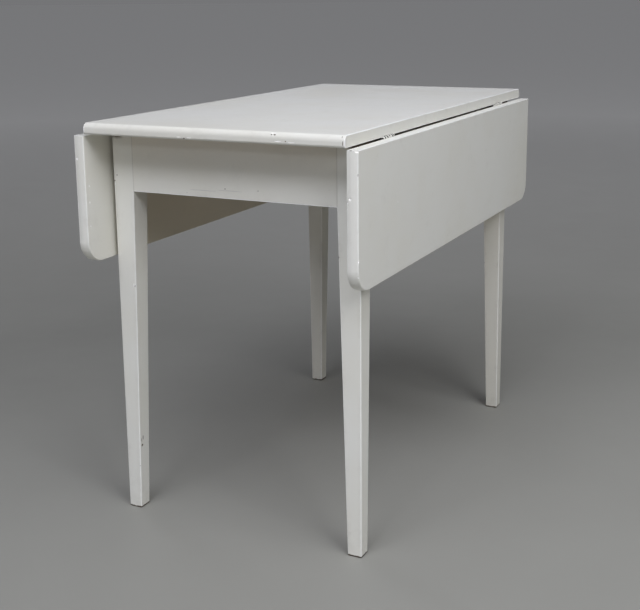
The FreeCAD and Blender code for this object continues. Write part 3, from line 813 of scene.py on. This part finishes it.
def painted_hinge(name):
    """Enamel brushed over steel, lost in patches, with dark steel painted most of all where two knuckles
    meet as the shade of their slit.
    """
    material, tree, shader, point = new_material(name)
    marks = use(tree, brush_marks, Point=point, Across=hinge_brush)
    paint = use(tree, aged_enamel, Point=point, Edge=no_edge, Streaks=marks["Tone"], Dirt=hinge_dirt)
    along = calc(tree, "SUBTRACT", sizes_of(tree, point)["Y"], hinge_start)
    from_seam = calc(tree, "PINGPONG", along, knuckle_length / 2)
    # Painted shade: dark steel is likelier at the seams between knuckles, as the shade in their slits.
    seam_darkening = product(tree, step(tree, from_seam, start=0.0030, end=0.0012), seam_loss_and_shade)
    patches = noise(tree, point, scale=190.0, detail=4.0, roughness=0.6)
    lost = step(tree, calc(tree, "ADD", patches, seam_darkening), start=0.60, end=0.63)
    colour = blend_colours(tree, lost, paint["Color"], hinge_steel_and_seam_shade)
    roughness = blend_values(tree, lost, paint["Roughness"], hinge_steel_roughness)
    height = calc(tree, "MULTIPLY_ADD", lost, -hinge_chip_depth, marks["Height"])
    finish_shader(tree, shader, colour, roughness, height)
    return material


dress(painted_hinge("hinge_enamel"), *hinge_plates, *hinge_pins, *hinge_screws)


# Drop leaves: softwood boards with softened arrises and two rounded lower corners, enamelled
# on both faces. They swing on the butt hinges, and their ends carry most of the knocks. Their
# inner faces carry painted shade as yellower, darker paint where they hang by the frame.

leaf_low, leaf_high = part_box("right_leaf")
leaf_half = Vector(((leaf_high.x - leaf_low.x) / 2, leaf_high.y, (leaf_high.z - leaf_low.z) / 2))
leaf_mid_x = (leaf_high.x + leaf_low.x) / 2
leaf_mid_z = (leaf_high.z + leaf_low.z) / 2


def leaf_edges(tree, point):
    """Distance from the edges of the nearest leaf."""
    x, y, z = parts_of(tree, point)
    from_x = calc(tree, "SUBTRACT", calc(tree, "ABSOLUTE", x), leaf_mid_x)
    return board_edges(tree, vector_of(tree, from_x, y, z), leaf_mid_z, leaf_half)


def leaf_shade_yellowing(tree, point):
    """Painted shade: yellower, darker paint on the inner faces, where the leaves hang by the frame."""
    at = sizes_of(tree, point)
    inner = step(tree, at["X"], start=leaf_low.x + 0.0030, end=leaf_low.x + 0.0006)
    behind = step(tree, at["Y"], start=leg_outer_y + 0.010, end=leg_outer_y - 0.060)
    return product(tree, inner, behind)


leaf_knocks = {
    "left_leaf": (
        ((-0.2643, -0.4760, 0.6772), (0.0023, 0.0015, 0.0026), 0.5),
        ((-0.2498, -0.4651, 0.6283), (0.0010, 0.0018, 0.0020), 0.5),
        ((-0.2498, -0.4657, 0.5993), (0.0012, 0.0022, 0.0021), 0.5),
        ((-0.2498, -0.4665, 0.5573), (0.0010, 0.0018, 0.0018), 0.5),
        ((-0.2698, -0.2140, 0.5520), (0.0008, 0.0024, 0.0016), 0.3),
        ((-0.2694, 0.4744, 0.6040), (0.0022, 0.0020, 0.0034), 0.5),
    ),
    "right_leaf": (
        ((0.2672, -0.4750, 0.7162), (0.0050, 0.0024, 0.0022), 0.5),
        ((0.2568, -0.4760, 0.7172), (0.0040, 0.0006, 0.0006), 0.85),
        ((0.2692, -0.4745, 0.6796), (0.0015, 0.0014, 0.0026), 0.74),
        ((0.2562, -0.4760, 0.6418), (0.0028, 0.0020, 0.0029), 0.5),
        ((0.2505, -0.4747, 0.6362), (0.0027, 0.0021, 0.0025), 0.5),
        ((0.2502, -0.4745, 0.6259), (0.0020, 0.0018, 0.0026), 0.5),
        ((0.2690, -0.4746, 0.5174), (0.0024, 0.0020, 0.0025), 0.5),
        ((0.2555, -0.4759, 0.5168), (0.0022, 0.0015, 0.0020), 0.74),
        ((0.2694, -0.4744, 0.5447), (0.0016, 0.0016, 0.0026), 0.5),
        ((0.2698, -0.3137, 0.6119), (0.0008, 0.0020, 0.0017), 0.4),
        ((0.2690, 0.4744, 0.5860), (0.0022, 0.0019, 0.0030), 0.5),
    ),
}
leaf_enamel = painted_wood("leaf_enamel", "Y", leaf_edges, chips=0.26, shade_yellowing=leaf_shade_yellowing)
for name, knocks in leaf_knocks.items():
    worn_piece(name, name.replace("_leaf", "_drop_leaf"), leaf_enamel, knocks)


# Floor and light: a plain pale studio floor that runs on into a pale room, a broad high lamp
# in front of the table, soft boxes over its front and right and weak fills at the left and the
# back. The far floor carries painted light: it is painted paler where the lamps fall off. The
# light is slightly cool, and less so from the right.

floor_reach = 500.0
floor_colour = (0.306, 0.303, 0.267, 1)
floor_shade = (0.285, 0.282, 0.248, 1)
# Painted light: the far floor is painted paler where the lamps fall off.
floor_far_painted_light = (0.880, 0.870, 0.795, 1)
floor_paling_centre = (0.94, -1.98, 0.0)
floor_near_radius = 3.1
floor_far_radius = 9.2
floor_roughness = 0.45
floor_scuff_roughness = 0.2
room_colour = (0.176, 0.177, 0.183, 1)
room_strength = 1.0
world_colour = (0.965, 0.980, 1.090, 1)
world_strength = 0.036
front_lamp_colour = (0.960, 0.978, 1.105)
right_lamp_colour = (0.976, 0.988, 1.064)
high_lamp_place = (0.20, -1.80, 3.40)
high_lamp_aim = (0.0, 0.0, 0.0)
high_lamp_strength = 0.77
high_lamp_spread = math.radians(50)
full_spread = math.radians(180)
soft_boxes = {
    "front_box": {"place": (-0.20, -2.64, 3.08), "aim": (0.0, -0.3, 0.55), "size": (1.3, 0.8),
                  "power": 20.0, "colour": front_lamp_colour},
    "front_right_box": {"place": (0.75, -2.64, 2.90), "aim": (0.0, -0.3, 0.55), "size": (1.0, 0.8),
                        "power": 8.4, "colour": front_lamp_colour},
    "corner_box": {"place": (2.35, -1.75, 2.40), "aim": (0.0, -0.2, 0.5), "size": (1.2, 1.2),
                   "power": 32.0, "colour": right_lamp_colour},
    "right_box": {"place": (2.95, -0.85, 2.20), "aim": (0.0, 0.0, 0.5), "size": (1.4, 1.4),
                  "power": 14.2, "colour": right_lamp_colour},
    "over_front_box": {"place": (0.10, -1.50, 3.90), "aim": (0.0, -0.3, 0.6), "size": (2.2, 2.2),
                       "power": 13.5, "colour": front_lamp_colour},
    "over_right_box": {"place": (1.60, -0.90, 3.60), "aim": (0.0, -0.1, 0.6), "size": (2.2, 2.2),
                       "power": 28.0, "colour": right_lamp_colour},
    "small_front_box": {"place": (0.20, -4.30, 2.15), "aim": (0.0, -0.2, 0.6), "size": (0.35, 0.35),
                        "power": 8.5, "colour": front_lamp_colour},
    "low_front_box": {"place": (0.60, -4.20, 0.72), "aim": (0.0, 0.0, 0.6), "size": (0.7, 0.7),
                      "power": 7.8, "colour": front_lamp_colour},
    "left_box": {"place": (-3.20, 1.30, 1.00), "aim": (-0.2, 0.1, 0.72), "size": (0.9, 0.9),
                 "power": 1.6, "colour": front_lamp_colour, "spread": math.radians(34)},
    "back_box": {"place": (-1.20, 3.20, 2.60), "aim": (0.0, 0.0, 0.5), "size": (2.0, 2.0),
                 "power": 4.0, "colour": front_lamp_colour},
}


def floor_paint(name):
    """Matt floor paint with faint clouds, and painted light that makes it paler far from the camera."""
    material, tree, shader, point = new_material(name)
    clouds = noise(tree, point, scale=3.0, detail=4.0)
    near_colour = blend_colours(tree, clouds, floor_colour, floor_shade)
    radius = vector_calc(tree, "LENGTH", vector_calc(tree, "SUBTRACT", point, floor_paling_centre))
    far = put(tree, "MapRange", radius, floor_near_radius, floor_far_radius).outputs[0]
    colour = blend_colours(tree, far, near_colour, floor_far_painted_light)
    scuffs = noise(tree, point, scale=7.0, detail=4.0)
    roughness = calc(tree, "MULTIPLY_ADD", scuffs, floor_scuff_roughness, floor_roughness)
    feed(tree, shader.inputs["Base Color"], colour)
    feed(tree, shader.inputs["Roughness"], roughness)
    return material


flat = bmesh.new()
bmesh.ops.create_grid(flat, x_segments=1, y_segments=1, size=floor_reach)
floor = shaped_object("floor", flat)
floor.data.materials.append(floor_paint("floor_paint"))

world = bpy.data.worlds.new("studio")
bpy.context.scene.world = world
world.use_nodes = True
world_tree = world.node_tree
glow = world_tree.nodes["Background"]
glow.inputs["Color"].default_value = world_colour
glow.inputs["Strength"].default_value = world_strength
seen_room = put(world_tree, "Background", room_colour, room_strength)
room = put(world_tree, "MixShader", put(world_tree, "LightPath").outputs["Is Camera Ray"],
           glow.outputs["Background"], seen_room.outputs["Background"])
feed(world_tree, world_tree.nodes["World Output"].inputs["Surface"], room.outputs[0])


def hang_lamp(lamp, colour, place, aim):
    """Puts a lamp at a place and turns it to what it lights."""
    lamp.color = colour
    stand = bpy.data.objects.new(lamp.name, lamp)
    stand.location = place
    stand.rotation_euler = (Vector(aim) - stand.location).to_track_quat("-Z", "Y").to_euler()
    bpy.context.scene.collection.objects.link(stand)


high_lamp = bpy.data.lights.new("high_front_lamp", "SUN")
high_lamp.energy = high_lamp_strength
high_lamp.angle = high_lamp_spread
hang_lamp(high_lamp, front_lamp_colour, high_lamp_place, high_lamp_aim)
for name, box in soft_boxes.items():
    soft_box = bpy.data.lights.new(name, "AREA")
    soft_box.shape = "RECTANGLE"
    soft_box.size, soft_box.size_y = box["size"]
    soft_box.spread = box.get("spread", full_spread)
    soft_box.energy = box["power"]
    hang_lamp(soft_box, box["colour"], box["place"], box["aim"])


# Camera: at the photograph's place, looking down at the near right corner of the table. The
# picture is 640 pixels wide, and its frame lies a little below the optical axis.

picture_width = 640
focal_pixels = 1090.5
frame_drop_pixels = 70
sensor_width = 36.0
camera_place = (0.9425, -1.9769, 0.9411)
camera_turn = math.radians(26.197)
camera_tilt = math.radians(90 - 12.13)
camera_roll = math.radians(-0.592)

camera_data = bpy.data.cameras.new("camera")
camera_data.sensor_width = sensor_width
camera_data.lens = focal_pixels * sensor_width / picture_width
camera_data.shift_y = -frame_drop_pixels / picture_width
camera = bpy.data.objects.new("camera", camera_data)
camera.matrix_world = (Matrix.Translation(camera_place) @ Matrix.Rotation(camera_turn, 4, "Z")
                       @ Matrix.Rotation(camera_tilt, 4, "X") @ Matrix.Rotation(camera_roll, 4, "Z"))
bpy.context.scene.collection.objects.link(camera)
bpy.context.scene.camera = camera
bpy.context.scene.view_settings.view_transform = "Standard"
